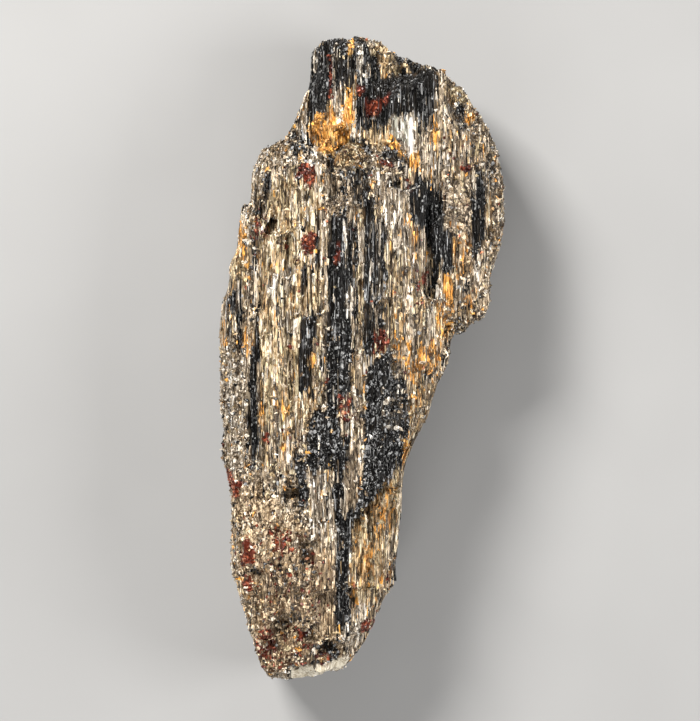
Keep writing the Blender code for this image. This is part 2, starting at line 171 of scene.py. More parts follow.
ORANGE_PATCHES = [
    patch(
        0.9, (307, 131), (315, 119), (328, 121), (330, 106), (337, 106), (336, 124), (341, 124),
        (342, 102), (353, 100), (354, 124), (353, 141), (346, 143), (338, 149), (331, 158),
        (321, 160), (314, 146),
    ),
    strip(341, 89, 354, 104, 0.5),
    strip(348, 46, 353, 57, 0.9),
    patch(0.9, (431, 121), (437, 122), (439, 140), (434, 150), (429, 143)),
    patch(0.95, (387, 144), (395, 143), (402, 150), (406, 158), (397, 158), (390, 151)),
    strip(410, 157, 418, 172, 0.9),
    strip(467, 117, 473, 124, 0.9),
    strip(241, 226, 248, 259, 0.5),
    strip(248, 264, 253, 270, 0.9),
    strip(245, 330, 255, 351, 0.55),
    strip(223, 337, 228, 343, 0.8),
    strip(310, 356, 316, 368, 0.6),
    patch(0.75, (275, 403), (291, 402), (290, 412), (284, 420), (277, 412)),
    strip(283, 431, 290, 438, 0.9),
    strip(283, 444, 289, 454, 0.7),
    strip(262, 405, 266, 425, 0.6),
    strip(406, 210, 410, 231, 0.6),
    patch(0.95, (410, 230), (418, 236), (416, 245), (411, 244)),
    strip(409, 253, 415, 268, 0.7),
    patch(1.0, (441, 277), (451, 277), (453, 300), (448, 305), (442, 296)),
    strip(434, 305, 453, 337, 0.45),
    strip(463, 295, 471, 312, 0.7),
    patch(0.3, (453, 237), (469, 240), (469, 274), (454, 276)),
    patch(0.32, (391, 330), (420, 345), (440, 345), (436, 372), (410, 378), (392, 350)),
    strip(402, 436, 409, 466, 0.8),
    patch(0.25, (410, 380), (424, 385), (412, 430), (406, 420)),
    strip(364, 541, 372, 569, 0.75),
    strip(351, 572, 357, 600, 0.4),
    patch(0.15, (354, 530), (380, 482), (396, 472), (396, 500), (384, 594), (354, 600)),
    strip(379, 508, 383, 530, 0.8),
]

RED_PATCHES = [
    patch(0.9, (299, 181), (306, 167), (316, 167), (316, 192), (306, 191)),
    patch(1.0, (301, 238), (306, 236), (310, 232), (319, 239), (314, 255), (306, 252)),
    patch(0.45, (256, 210), (268, 212), (272, 241), (256, 241)),
    strip(285, 238, 288, 255, 0.8),
    strip(328, 62, 332, 102, 0.45),
    patch(0.9, (366, 102), (376, 103), (379, 112), (374, 119), (367, 117)),
    patch(0.7, (379, 106), (384, 99), (390, 97), (389, 102), (382, 109)),
    patch(0.7, (356, 91), (364, 86), (364, 94), (357, 98)),
    patch(0.8, (376, 158), (383, 162), (393, 168), (391, 172), (381, 167)),
    strip(336, 246, 340, 268, 0.85),
    strip(459, 165, 468, 176, 0.85),
    strip(404, 181, 410, 192, 0.7),
    patch(1.0, (414, 286), (424, 277), (428, 285), (417, 292)),
    patch(0.85, (373, 334), (384, 330), (391, 340), (378, 356), (373, 358)),
    patch(0.5, (338, 394), (350, 396), (354, 420), (342, 416)),
    patch(0.8, (263, 434), (271, 431), (273, 440), (267, 443)),
    patch(
        0.95, (228, 469), (234, 470), (238, 477), (247, 480), (241, 487), (240, 495), (234, 495),
    ),
    patch(0.9, (243, 538), (252, 534), (257, 548), (255, 562), (243, 564)),
    patch(0.75, (244, 575), (253, 573), (254, 590), (247, 592)),
    patch(0.5, (270, 528), (293, 525), (300, 540), (292, 551), (274, 548)),
    patch(0.6, (256, 632), (266, 619), (277, 638), (276, 652), (262, 654)),
    patch(0.9, (361, 618), (379, 608), (375, 622), (362, 629)),
    strip(299, 626, 308, 633, 0.8),
    strip(384, 569, 396, 581, 0.35),
    strip(314, 487, 319, 493, 0.6),
    strip(351, 578, 356, 610, 0.35),
    patch(0.14, (258, 632), (300, 628), (336, 652), (306, 668), (266, 664)),
    patch(0.05, (240, 500), (300, 520), (330, 560), (332, 628), (262, 628)),
]

BLACK_PATCHES = [
    patch(
        0.95, (310, 55), (319, 44), (335, 38), (362, 36), (370, 52), (378, 57), (379, 77),
        (356, 88), (341, 88), (330, 104), (328, 121), (307, 124), (309, 67),
    ),
    patch(0.9, (392, 52), (428, 66), (413, 72), (399, 64)),
    patch(
        0.97, (356, 84), (379, 78), (413, 72), (434, 69), (435, 120), (425, 131), (415, 124),
        (410, 118), (391, 124), (385, 135), (354, 136), (356, 112),
    ),
    patch(0.75, (292, 140), (306, 128), (316, 145), (314, 160), (294, 161)),
    BLACK_FACE,
    patch(0.85, (266, 175), (272, 178), (277, 190), (273, 199), (266, 197), (262, 186)),
    strip(267, 214, 274, 244, 0.4),
    strip(316, 214, 321, 278, 0.97),
    strip(340, 173, 352, 197, 0.7),
    patch(0.8, (352, 174), (368, 176), (370, 222), (360, 214), (353, 200)),
    patch(0.97, (329, 216), (347, 212), (351, 240), (352, 330), (352, 394), (327, 394), (328, 300)),
    strip(350, 225, 358, 330, 0.75),
    strip(363, 199, 374, 360, 0.96),
    strip(373, 223, 384, 301, 0.96),
    strip(377, 316, 384, 331, 0.9),
    patch(
        0.98, (405, 180), (426, 180), (435, 186), (443, 197), (443, 231), (453, 232), (453, 274),
        (437, 277), (436, 293), (427, 291), (429, 274), (432, 262), (425, 243), (417, 233),
        (410, 220),
    ),
    strip(427, 293, 435, 318, 0.5),
    patch(
        0.97, (474, 166), (480, 171), (485, 193), (483, 240), (475, 260), (469, 262), (469, 202),
    ),
    patch(0.5, (484, 160), (494, 166), (494, 182), (485, 184)),
    strip(458, 282, 466, 294, 0.7),
    strip(454, 299, 462, 328, 0.5),
    strip(456, 103, 465, 123, 0.95),
    strip(456, 126, 465, 138, 0.85),
    strip(430, 150, 441, 180, 0.6),
    patch(0.9, (230, 288), (244, 290), (246, 311), (244, 348), (239, 349), (238, 315), (228, 315)),
    strip(228, 315, 238, 342, 0.5),
    patch(0.95, (257, 312), (261, 312), (260, 380), (261, 446), (248, 448), (250, 380), (255, 345)),
    strip(252, 449, 257, 471, 0.6),
    patch(0.8, (226, 391), (232, 391), (236, 425), (229, 425)),
    strip(303, 263, 307, 300, 0.9),
    strip(310, 268, 314, 278, 0.8),
    patch(
        0.97, (299, 317), (307, 319), (310, 298), (315, 298), (318, 320), (318, 340), (310, 364),
        (314, 369), (313, 399), (298, 395), (299, 358), (302, 337),
    ),
    patch(
        0.97, (312, 409), (325, 409), (327, 392), (337, 394), (340, 420), (348, 441), (348, 457),
        (334, 462), (325, 471), (314, 469), (308, 457), (308, 430),
    ),
    patch(0.95, (293, 452), (308, 455), (309, 502), (302, 508), (298, 482)),
    strip(334, 461, 345, 508, 0.92),
    strip(344, 395, 350, 440, 0.4),
    strip(318, 508, 336, 527, 0.55),
    patch(
        0.98, (367, 368), (390, 346), (391, 373), (406, 381), (408, 432), (402, 464), (392, 474),
        (369, 502), (352, 520), (336, 524), (334, 508), (350, 506), (357, 500), (362, 470),
        (365, 430),
    ),
    patch(0.95, (335, 507), (352, 518), (350, 555), (350, 620), (343, 628), (336, 625)),
    patch(0.7, (300, 546), (314, 545), (316, 562), (304, 562)),
    patch(0.8, (311, 638), (327, 636), (338, 640), (338, 659), (330, 658), (326, 646), (312, 645)),
    strip(289, 662, 296, 677, 0.85),
    # Black here is painted shade in the gap round the lump.
    LUMP_EDGE,
    strip(377, 169, 392, 174, 0.3),
]

PATCHES = {
    PALE: PALE_PATCHES,
    GOLD: GOLD_PATCHES,
    BLACK: BLACK_PATCHES,
    ORANGE: ORANGE_PATCHES,
    RED: RED_PATCHES,
    SILVER: SILVER_PATCHES,
}

# What lies between the patches: the share of each mineral, in the order of
# pale, silver, golden and orange mica, tourmaline and red grains.
BETWEEN = (0.47, 0.15, 0.14, 0.03, 0.2, 0.01)

# How ragged the edges of the patches are, in mm across and along, and over how many
# mm a patch fades at its edge. At its ends along Y it fades over twice as many.
RAGGED = (0.35, 1.2)
SOFT_EDGE = 0.4
EDGE_STRETCH = (1.0, 0.5)

# How deep below the front the patches reach in mm, how much this wavers, and over
# how many mm they fade. The front's height at a place is the highest one within
# FRONT_REACH mm across and along, found by rays from RAY_START mm downwards.
FRONT_DEPTH = 11.5
FRONT_WAVER = 2.5
FRONT_FADE = 5.0
FRONT_REACH = (2, 3)
RAY_START = 60.0

# The streaks of minerals on the flanks and the back: mineral, width in mm, seed,
# how rare and how much. They are STREAK_LENGTH times as long as they are wide.
STREAK_LENGTH = 5.0
STREAKS = [
    (BLACK, 3.2, 29.0, -0.05, 3.0),
    (SILVER, 4.0, 61.0, 0.15, 0.8),
    (ORANGE, 2.6, 71.0, 0.28, 1.6),
    (GOLD, 3.0, 83.0, 0.15, 0.8),
    (RED, 1.6, 97.0, 0.42, 2.5),
]

# How much the crystals' shade varies in blotches and from column to column.
BLOTCH_SHADE = 0.18
COLUMN_SHADE = 0.34

# Brown lumps, where all crystals are darker by this much, painted shade in deep gaps,
# where they are darker too, and painted highlights on bright white flakes and faces,
# where they are lighter.
DARKER_AND_PAINTED_LIGHT = [
    again(LUMP_CRUST, 0.26),
    strip(270, 144, 292, 162, 0.22),
    patch(0.15, (275, 562), (306, 562), (312, 617), (290, 625), (270, 600)),
    strip(304, 645, 324, 663, 0.25),
    strip(453, 237, 470, 274, 0.2),
    patch(0.17, (392, 345), (440, 345), (436, 380), (392, 380)),
    strip(402, 380, 436, 470, 0.2),
    strip(330, 180, 404, 345, 0.1),
    strip(404, 230, 430, 278, 0.25),
    patch(0.12, (440, 75), (462, 80), (498, 140), (504, 200), (504, 260), (455, 200), (442, 180)),
    strip(434, 277, 490, 340, 0.08),
    patch(0.14, (351, 530), (380, 480), (398, 470), (398, 500), (397, 594), (351, 600)),
    patch(0.12, (385, 112), (445, 112), (440, 165), (400, 165)),
    again(LUMP_EDGE, 0.5),
    patch(-0.5, (470, 263), (480, 265), (481, 285), (472, 282)),
    patch(0.1, (389, 125), (408, 120), (408, 156), (389, 140)),
    strip(408, 121, 413, 157, -0.15),
    strip(443, 155, 448, 172, -0.4),
    strip(306, 204, 314, 215, -0.4),
    strip(346, 293, 353, 315, -0.15),
    strip(358, 236, 365, 261, -0.2),
    strip(382, 530, 398, 594, -0.2),
    strip(357, 359, 364, 445, 0.12),
    strip(311, 471, 335, 522, 0.2),
    patch(-0.2, (240, 505), (285, 495), (300, 530), (268, 560), (246, 540)),
    strip(262, 180, 300, 215, 0.12),
    strip(372, 50, 412, 74, 0.12),
    strip(222, 345, 250, 460, 0.1),
]

# The brown lump at the foot of the top columns, and how far it stands up in mm. It
# is LUMP_FULLNESS times as steep as its soft edge, so that its top is broad.
LUMP = patch(1.0, (333, 170), (341, 153), (351, 144), (361, 148), (368, 156), (366, 170))
LUMP_HEIGHT = 0.8
LUMP_FULLNESS = 1.6

# Brown crusts, where the ground between the crystals is brown as well.
BROWN = [
    patch(0.8, (226, 500), (262, 480), (300, 520), (336, 545), (336, 628), (345, 655), (262, 668)),
    LUMP_CRUST,
    strip(448, 236, 470, 276, 0.7),
    strip(353, 530, 397, 600, 0.5),
]

# Dark gaps between columns, and how far the ground sinks in them in mm.
GAPS = [
    LUMP_EDGE,
    strip(317, 214, 321, 278, 1.0),
    strip(364, 246, 370, 350, 1.0),
    strip(373, 222, 376, 300, 1.0),
    strip(380, 222, 384, 300, 1.0),
    strip(303, 264, 307, 318, 1.0),
    strip(298, 318, 302, 395, 1.0),
    strip(309, 318, 313, 398, 1.0),
    strip(329, 216, 332, 345, 1.0),
    strip(256, 312, 260, 380, 1.0),
    strip(249, 380, 253, 448, 1.0),
    strip(335, 512, 340, 625, 0.6),
    patch(1.0, (351, 520), (369, 502), (392, 474), (395, 478), (372, 507), (354, 525)),
]
GAP_DEPTH = 0.35

# Smooth faces of the black columns, with few small crystals on them. The purity is
# the share of the crystals that is left out, and LEAST_BARE is that share elsewhere.
LEAST_BARE = 0.15
BARE = [
    patch(0.75, (356, 84), (435, 70), (435, 120), (391, 124), (385, 135), (354, 136)),
    strip(329, 216, 349, 330, 0.6),
    strip(363, 200, 373, 360, 0.7),
    strip(373, 224, 384, 300, 0.7),
    strip(309, 60, 356, 121, 0.65),
    patch(0.7, (406, 180), (426, 180), (443, 197), (453, 232), (452, 262), (430, 262), (410, 220)),
    strip(469, 190, 485, 250, 0.6),
    strip(298, 298, 318, 399, 0.7),
    strip(303, 263, 307, 300, 0.7),
    again(BLACK_FACE, 0.5),
]

# Smooth silver mica faces with few crystals on them, and the edges of them, where a near-white
# colour paints a highlight.
SILVER_FACES = [
    patch(0.9, (390, 127), (399, 122), (408, 120), (409, 156), (403, 150), (389, 140)),
    patch(0.6, (415, 124), (421, 132), (425, 148), (420, 150), (414, 134)),
]
PAINTED_HIGHLIGHT_EDGES = [
    strip(408, 121, 412, 158, 1.0),
]

# A smooth pale fracture with few crystals on it. Below this height in mm it breaks up.
FRACTURE = patch(
    1.0, (291, 664), (325, 661), (349, 652), (352, 660), (346, 670), (313, 678), (291, 682),
)
FRACTURE_LOW = 14.0

# The share of crystals that is left out on mica in BARE, on the smooth silver faces,
# bright edges and gaps, and on the fracture.
BARE_OF_MICA = 0.9
SMOOTH_BARE = 0.9
FRACTURE_BARE = 0.95

# Where the crust is made of grains and flakes instead of slivers, and the share of
# them elsewhere. There are END_GRAINS more on the broken ends, where the part of the
# normal along Y is larger than END_NORMAL.
LEAST_GRANULAR = 0.12
END_GRAINS = 0.6
END_NORMAL = 0.72
GRANULAR = [
    patch(
        0.85, (226, 465), (262, 455), (300, 480), (312, 515), (318, 560), (320, 630), (350, 630),
        (352, 660), (300, 682), (260, 680), (232, 590),
    ),
    patch(0.9, (367, 368), (390, 346), (406, 381), (408, 432), (392, 474), (352, 522), (360, 480)),
    patch(0.85, (308, 409), (337, 400), (348, 441), (334, 462), (314, 470), (302, 508), (293, 452)),
    strip(218, 343, 250, 470, 0.8),
    patch(0.85, (255, 165), (272, 140), (296, 132), (318, 150), (322, 170), (256, 178)),
    strip(322, 196, 362, 214, 0.9),
    strip(320, 143, 402, 180, 0.75),
    patch(
        0.75, (446, 75), (470, 90), (500, 140), (508, 200), (504, 250), (490, 300), (478, 290),
        (486, 240), (490, 190), (480, 150), (455, 125), (440, 100),
    ),
    strip(443, 180, 470, 238, 0.7),
    patch(0.8, (369, 46), (390, 45), (428, 68), (379, 79)),
    strip(330, 36, 356, 62, 0.5),
    strip(440, 300, 490, 345, 0.55),
    strip(326, 330, 352, 400, 0.4),
    strip(334, 508, 352, 628, 0.3),
    strip(246, 204, 256, 330, 0.5),
]

# The remeshed ground: the step of its mesh in m, how far it lies below the solid's
# surface in mm, its ridges along the columns and its grains, in mm. Below FLAT_UNDER
# mm it stays flat.
VOXEL = 0.0005
SUNK = 0.28
RIDGE_HEIGHT = 0.32
RIDGE_ACROSS = 1.2
RIDGE_ALONG = 16.0
GRAIN_HEIGHT = 0.20
GRAIN_SIZE = 1.1
FLAT_UNDER = 0.4

# How many places for crystals are tried, and the lowest that one lies in mm. Below
# BACK_LEVEL mm only BACK_SHARE of the places are kept, and the crystals there are
# BACK_BULK times as wide.
SAMPLES = 100000
LOWEST_CRYSTAL = 0.5
BACK_LEVEL = 10.0
BACK_SHARE = 0.55
BACK_BULK = 1.25

# How much the crystals' widths and corners vary, as shares of their size.
WIDTH_SPREAD = 0.38
SLIVER_JITTER = 0.1
FLAKE_JITTER = 0.12

# Slivers lean off the columns by about SLIVER_LEAN and roll up to SLIVER_ROLL radians.
# Each is made SHORTER times as long until its ends lie within END_GAP mm of the
# surface, it is shorter than SHORT_ENOUGH mm, or it was tried FIT_TRIES times. With
# both ends within WIDEST_GAP mm it turns to follow the surface.
SLIVER_LEAN = 0.035
SLIVER_ROLL = 0.9
FIT_TRIES = 5
SHORTER = 0.62
END_GAP = 0.45
WIDEST_GAP = 0.7
SHORT_ENOUGH = 0.9

# Iron-stained slivers are this many times as long as the golden ones, so that the
# stains stay in their spots.
SHORT_STAINED = 0.6

# How far in mm the middle of a flake stands out of the front, and how much less it
# does on the flanks.
FLAKE_STAND = 0.06
FLANK_SINK = 0.16

# How nearly a flake lies along the surface, where 1 is flat, and the widest and
# the longest that flakes get in mm.
LYING = 0.85
WIDEST_FLAKE = 0.8
LONGEST_FLAKE = 1.25

# Crystals may stand this far out of the solid's box in mm, across, along and up.
REACH = (0.35, 0.45, 0.3)

# The camera looks straight down from far off. At CAMERA_LEVEL, where the outline
# is widest, the picture is FRAME_HEIGHT mm high. All of these are in mm.
CAMERA_AIM = (-1.97, -0.51)
CAMERA_DISTANCE = 760.0
CAMERA_LEVEL = 14.0
FRAME_HEIGHT = 123.7
SENSOR_HEIGHT = 36.0

# The point in m that the lights aim at, the strength of the sky, and half of the
# tabletop's width in m.
LIGHT_AIM = (0.0, 0.0, 0.015)
SKY_STRENGTH = 0.25
TABLE_REACH = 1.5


# The specimen's surface

def smooth_step(values):
    """Eases values from 0 to 1."""
    values = np.clip(values, 0.0, 1.0)
    return values * values * (3.0 - 2.0 * values)


def noise_at(points, size, offset):
    """Smooth noise from -1 to 1 at points in mm, its size given across, along and up."""
    shift = Vector((offset, offset * 0.37, offset * 0.71))
    scaled = points / np.array(size)
    return np.array([noise.noise(Vector(point) + shift) for point in scaled])


def patch_share(points, area):
    """How far inside a patch each point lies, from 0 to 1."""
    places = points[:, :2] * EDGE_STRETCH
    corners = (np.array(area.corners, dtype=float) - CHART_MIDDLE) * CHART_UNIT
    corners = corners * (1.0, -1.0) * EDGE_STRETCH
    inside = np.zeros(len(places), dtype=bool)
    nearest = np.full(len(places), 1e9)
    for start, end in zip(corners, np.roll(corners, -1, axis=0)):
        side = end - start
        reach = places - start
        along = np.clip(reach @ side / (side @ side), 0.0, 1.0)
        nearest = np.minimum(nearest, np.linalg.norm(reach - along[:, None] * side, axis=1))
        crosses = (start[1] > places[:, 1]) != (end[1] > places[:, 1])
        if crosses.any():
            at = start[0] + side[0] * (places[:, 1] - start[1]) / (side[1] or 1e-9)
            inside ^= crosses & (places[:, 0] < at)
    signed = np.where(inside, nearest, -nearest)
    return smooth_step(signed / SOFT_EDGE + 0.5)


def highest_share(points, patches, least=0.0):
    """The highest share of several patches at each point, each times its purity."""
    share = np.full(len(points), least)
    for area in patches:
        share = np.maximum(share, area.purity * patch_share(points, area))
    return share


def ragged(points):
    """The points, moved about a little so that the patches get ragged edges."""
    moved = points.copy()
    moved[:, 0] += RAGGED[0] * noise_at(points, (1.4, 4.0, 40.0), 3.0)
    moved[:, 1] += RAGGED[1] * noise_at(points, (0.9, 9.0, 40.0), 17.0)
    return moved


def mesh_points(mesh):
    """A mesh's points in mm, as an array."""
    flat = np.zeros(len(mesh.vertices) * 3)
    mesh.vertices.foreach_get("co", flat)
    return flat.reshape(-1, 3) / MM


def mesh_normals(mesh):
    """A mesh's normals at its points, as an array."""
    flat = np.zeros(len(mesh.vertices) * 3)
    mesh.vertices.foreach_get("normal", flat)
    return flat.reshape(-1, 3)


def mesh_triangles(mesh):
    """The three corners of each of a mesh's triangles, as numbers of its points."""
    mesh.calc_loop_triangles()
    corners = np.zeros(len(mesh.loop_triangles) * 3, dtype=np.int32)
    mesh.loop_triangles.foreach_get("vertices", corners)
    return corners.reshape(-1, 3)


def mesh_tree(mesh):
    """A tree of a mesh's triangles, in mm, to find the nearest surface with."""
    return BVHTree.FromPolygons(mesh_points(mesh).tolist(), mesh_triangles(mesh).tolist())


class Front:
    """How high the front stands, so that the patches end where the flanks begin."""

    def __init__(self, solid):
        tree = mesh_tree(solid.data)
        points = mesh_points(solid.data)
        self.low = points.min(axis=0)[:2]
        size = np.ceil(points.max(axis=0)[:2] - self.low).astype(int) + 1
        heights = np.zeros(size)
        for across in range(size[0]):
            for along in range(size[1]):
                start = Vector((self.low[0] + across, self.low[1] + along, RAY_START))
                place = tree.ray_cast(start, Vector((0.0, 0.0, -1.0)))[0]
                heights[across, along] = place.z if place else 0.0
        for axis, reach in enumerate(FRONT_REACH):
            shifted = [np.roll(heights, step, axis) for step in range(-reach, reach + 1)]
            heights = np.max(shifted, axis=0)
        self.heights = heights

    def share(self, points):
        """1 on the front, 0 on the flanks and the back."""
        cells = np.rint(points[:, :2] - self.low).astype(int)
        cells = np.clip(cells, 0, np.array(self.heights.shape) - 1)
        depth = self.heights[cells[:, 0], cells[:, 1]] - points[:, 2]
        depth += FRONT_WAVER * noise_at(points, (3.0, 6.0, 3.0), 53.0)
        return smooth_step((FRONT_DEPTH - depth) / FRONT_FADE + 0.5)


def mineral_shares(points, front):
    """The share of each mineral at each point: patches in front, streaks on the rest."""
    moved = ragged(points)
    shown = front.share(points)
    away = 1.0 - shown
    shares = np.tile(np.array(BETWEEN), (len(points), 1))
    for mineral, size, offset, start, amount in STREAKS:
        streaks = noise_at(points, (size, size * STREAK_LENGTH, size), offset)
        shares[:, mineral] += amount * away * smooth_step((streaks - start) * 4.0)
    for mineral, patches in PATCHES.items():
        for area in patches:
            cover = patch_share(moved, area) * shown * area.purity
            shares *= (1.0 - cover)[:, None]
            shares[:, mineral] += cover
    return shares / shares.sum(1)[:, None]


def fracture_share(points):
    """Where the pale fracture shows: all of it near the front rim, blotches below."""
    rough = noise_at(points, (4.0, 4.0, 3.0), 113.0)
    near_rim = smooth_step((points[:, 2] - FRACTURE_LOW) / 4.0 + 1.5 * rough + 0.5)
    return patch_share(points, FRACTURE) * np.maximum(near_rim, smooth_step(2.5 * rough - 0.4))


def granular_share(points):
    """How much of the crust is grains and flakes at each point."""
    return highest_share(ragged(points), GRANULAR, LEAST_GRANULAR)


def keep_in_box(points, box, reach=REACH):
    """Keeps points in the solid's box, or this far outside it, and above the floor."""
    low = np.array(box[0]) / MM - np.array(reach)
    high = np.array(box[1]) / MM + np.array(reach)
    low[2] = 0.0
    return np.clip(points, low, high)


def add_object(name, data):
    """A new object in the scene."""
    thing = bpy.data.objects.new(name, data)
    bpy.context.scene.collection.objects.link(thing)
    return thing


def add_values(mesh, name, values, domain):
    """Keeps one number for each point or face of a mesh, for its material to read."""
    attribute = mesh.attributes.new(name, "FLOAT", domain)
    attribute.data.foreach_set("value", np.asarray(values, dtype=np.float32))


def make_columns(node, box, front):
    """The bundle of columns: the solid, remeshed finely and ridged along its length."""
    columns = add_object("striated_columns", node.data.copy())
    remesh = columns.modifiers.new("fine surface", "REMESH")
    remesh.mode = "VOXEL"
    remesh.voxel_size = VOXEL
    evaluated = columns.evaluated_get(bpy.context.evaluated_depsgraph_get())
    mesh = bpy.data.meshes.new_from_object(evaluated)
    columns.modifiers.clear()
    columns.data = mesh

    points = mesh_points(mesh)
    normals = mesh_normals(mesh)
    shares = mineral_shares(points, front)
    granular = granular_share(points)
    ridges = noise_at(points, (RIDGE_ACROSS, RIDGE_ALONG, RIDGE_ACROSS), 5.0)
    ridges += 0.5 * noise_at(points, (RIDGE_ACROSS / 2, RIDGE_ALONG / 2, RIDGE_ACROSS / 2), 7.0)
    grains = noise_at(points, (GRAIN_SIZE, GRAIN_SIZE, GRAIN_SIZE), 9.0)
    height = RIDGE_HEIGHT * ridges * (1.0 - granular) + GRAIN_HEIGHT * grains * granular
    shown = front.share(points)
    height += LUMP_HEIGHT * smooth_step(LUMP_FULLNESS * patch_share(points, LUMP)) * shown
    height -= SUNK + GAP_DEPTH * highest_share(points, GAPS) * shown
    raised = points + normals * height[:, None]
    flat_under = points[:, 2] < FLAT_UNDER
    raised[flat_under] = points[flat_under]
    raised = keep_in_box(raised, box, (0.0, 0.0, 0.0))
    mesh.vertices.foreach_set("co", (raised * MM).ravel())
    mesh.update()
    moved = ragged(points)
    looks = {
        "crust": shares[:, PALE] + shares[:, SILVER] + shares[:, GOLD] + 0.6 * shares[:, ORANGE],
        "stain": shares[:, ORANGE] + 0.4 * shares[:, GOLD],
        "red": shares[:, RED],
        "brown": highest_share(moved, BROWN),
        "fracture": fracture_share(points),
        "silver": highest_share(moved, SILVER_FACES),
        # bright marks the edges that get a painted highlight.
        "bright": highest_share(points, PAINTED_HIGHLIGHT_EDGES),
    }
    for name, values in looks.items():
        add_values(mesh, name, values, "POINT")
    return columns


# The small crystals

def form_arrays(bm):
    """The points and triangles of a small form, which is used up."""
    bmesh.ops.triangulate(bm, faces=bm.faces)
    bmesh.ops.recalc_face_normals(bm, faces=bm.faces)
    points = np.array([vert.co[:] for vert in bm.verts])
    faces = np.array([[vert.index for vert in face.verts] for face in bm.faces])
    bm.free()
    return points, faces


def sliver_form():
    """A three-sided crystal along Y, one long and one wide, with a point at either end."""
    bm = bmesh.new()
    rings = []
    for along, size in ((-0.38, 0.58), (0.34, 0.54)):
        ring = []
        for step in range(3):
            angle = math.pi * (0.5 + 2.0 * step / 3.0)
            ring.append(bm.verts.new((size * math.cos(angle), along, size * math.sin(angle))))
        rings.append(ring)
    tips = [bm.verts.new((0.08, -0.5, 0.0)), bm.verts.new((-0.06, 0.5, 0.0))]
    bm.verts.index_update()
    for step in range(3):
        after = (step + 1) % 3
        bm.faces.new((rings[0][step], rings[0][after], rings[1][after], rings[1][step]))
        bm.faces.new((rings[0][after], rings[0][step], tips[0]))
        bm.faces.new((rings[1][step], rings[1][after], tips[1]))
    return form_arrays(bm)


def flake_form():
    """A four-sided plate that lies in the XY plane, one wide and one thick."""
    bm = bmesh.new()
    bmesh.ops.create_cone(
        bm, cap_ends=True, segments=4, radius1=0.56, radius2=0.5, depth=1.0,
    )
    bm.verts.index_update()
    return form_arrays(bm)


def grain_form(subdivisions):
    """A grain, one wide: an eight-sided crystal, or a rounder one."""
    bm = bmesh.new()
    if subdivisions:
        bmesh.ops.create_icosphere(bm, subdivisions=subdivisions, radius=0.5)
    else:
        bmesh.ops.create_uvsphere(bm, u_segments=4, v_segments=2, radius=0.55)
    bm.verts.index_update()
    return form_arrays(bm)


def surface_samples(mesh, count, chance):
    """Points spread evenly over a mesh, in mm, with the surface's normals there."""
    triangles = mesh_points(mesh)[mesh_triangles(mesh)]
    first = triangles[:, 1] - triangles[:, 0]
    second = triangles[:, 2] - triangles[:, 0]
    cross = np.cross(first, second)
    areas = np.linalg.norm(cross, axis=1)
    picks = chance.choice(len(areas), count, p=areas / areas.sum())
    along_first, along_second = chance.random((2, count))
    outside = along_first + along_second > 1.0
    along_first[outside] = 1.0 - along_first[outside]
    along_second[outside] = 1.0 - along_second[outside]
    points = triangles[picks, 0] + first[picks] * along_first[:, None]
    points += second[picks] * along_second[:, None]
    normals = cross[picks] / np.maximum(areas[picks], 1e-12)[:, None]
    return points, normals


def unit(vectors):
    """Vectors of length one."""
    return vectors / np.maximum(np.linalg.norm(vectors, axis=1), 1e-9)[:, None]


def frames_for(along, up):
    """Turned axes for each crystal: across, along and up."""
    along = unit(along)
    across = unit(np.cross(along, up))
    return np.stack((across, along, np.cross(across, along)), axis=2)


def rolled(frames, angles):
    """Turns each crystal about its own length."""
    across, along, up = frames[:, :, 0], frames[:, :, 1], frames[:, :, 2]
    cosine, sine = np.cos(angles)[:, None], np.sin(angles)[:, None]
    return np.stack((across * cosine + up * sine, along, up * cosine - across * sine), axis=2)


def fitted_slivers(tree, points, normals, lengths, chance):
    """Lays slivers on the surface: each is shortened until both its ends lie on it."""
    centres = points.copy()
    alongs = np.zeros_like(points)
    fitted = lengths.copy()
    lean = chance.normal(0.0, SLIVER_LEAN, (len(points), 2))
    for index, (point, normal) in enumerate(zip(points, normals)):
        direction = Vector((lean[index, 0], 1.0, lean[index, 1]))
        up = Vector(normal)
        direction = (direction - up * direction.dot(up)).normalized()
        middle = Vector(point)
        for _ in range(FIT_TRIES):
            half = direction * fitted[index] / 2
            ends = [tree.find_nearest(end) for end in (middle - half, middle + half)]
            farthest = max(end[3] for end in ends)
            if farthest < END_GAP or fitted[index] < SHORT_ENOUGH:
                break
            fitted[index] *= SHORTER
        low, high = ends[0][0], ends[1][0]
        if farthest < WIDEST_GAP:
            centres[index] = (low + high) / 2 * 0.6 + middle * 0.4
            alongs[index] = high - low
        else:
            alongs[index] = direction
    short = np.linalg.norm(alongs, axis=1) < 0.05
    alongs[short] = (0.0, 1.0, 0.0)
    return centres, unit(alongs), fitted


def many_of(name, form, centres, frames, sizes, jitter, box, chance):
    """One mesh with a copy of a form at every centre, each turned, sized and uneven."""
    form_points, form_faces = form
    count, corners = len(centres), len(form_points)
    local = form_points[None] + chance.uniform(-jitter, jitter, (count, corners, 3))
    local = local * sizes[:, None, :]
    points = centres[:, None, :] + np.einsum("nij,nkj->nki", frames, local)
    points = keep_in_box(points.reshape(-1, 3), box)
    faces = form_faces[None] + (np.arange(count) * corners)[:, None, None]
    mesh = bpy.data.meshes.new(name)
    mesh.from_pydata((points * MM).tolist(), [], faces.reshape(-1, 3).tolist())
    return add_object(name, mesh)


def give_shades(piece, form, **values):
    """Keeps each crystal's own shade and warmth on its faces."""
    faces = len(form[1])
    for name, numbers in values.items():
        add_values(piece.data, name, np.repeat(numbers, faces), "FACE")


def random_tilts(normals, spread, chance):
    """Directions that lean away from the normals at random."""
    return unit(normals + chance.normal(0.0, spread, normals.shape))


